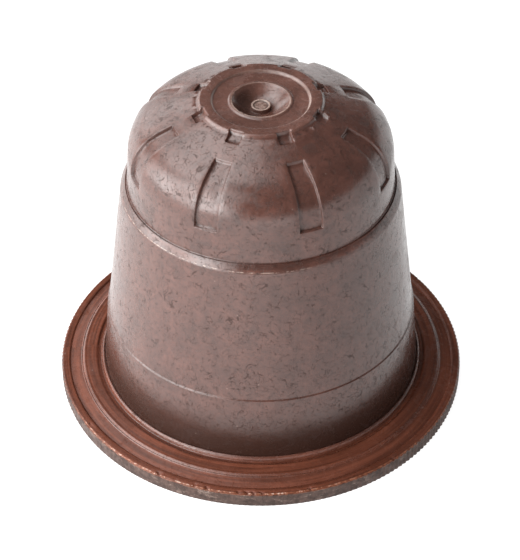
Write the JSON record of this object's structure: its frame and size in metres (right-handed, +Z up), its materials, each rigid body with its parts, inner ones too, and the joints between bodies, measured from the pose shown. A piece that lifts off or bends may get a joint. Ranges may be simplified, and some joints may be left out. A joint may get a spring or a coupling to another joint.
{
  "type": "coffee pod",
  "caption": "Sealed single-serve coffee pod: drafted cup with a slotted domed end, gate dimple, stepped flange with a knurled rim, and a flat lid film.",
  "frame": {"origin": "pod's axis at the underside of the lid film, which the pod stands on", "axes": "+Z up along the pod's axis towards its domed end; the slots are at 22.5 degrees from +X and every 45 degrees after"},
  "size_m": [0.037, 0.037, 0.0302],
  "materials": {
    "moulded_body": "semi-gloss brown plastic with dark fibres and cloudy mottling",
    "lid_film": "matt pale paper-based film, pressed flat where it is welded"
  },
  "bodies": {
    "root": {"capsule": "moulded_body", "lid_film": "lid_film"}
  },
  "joints": []
}
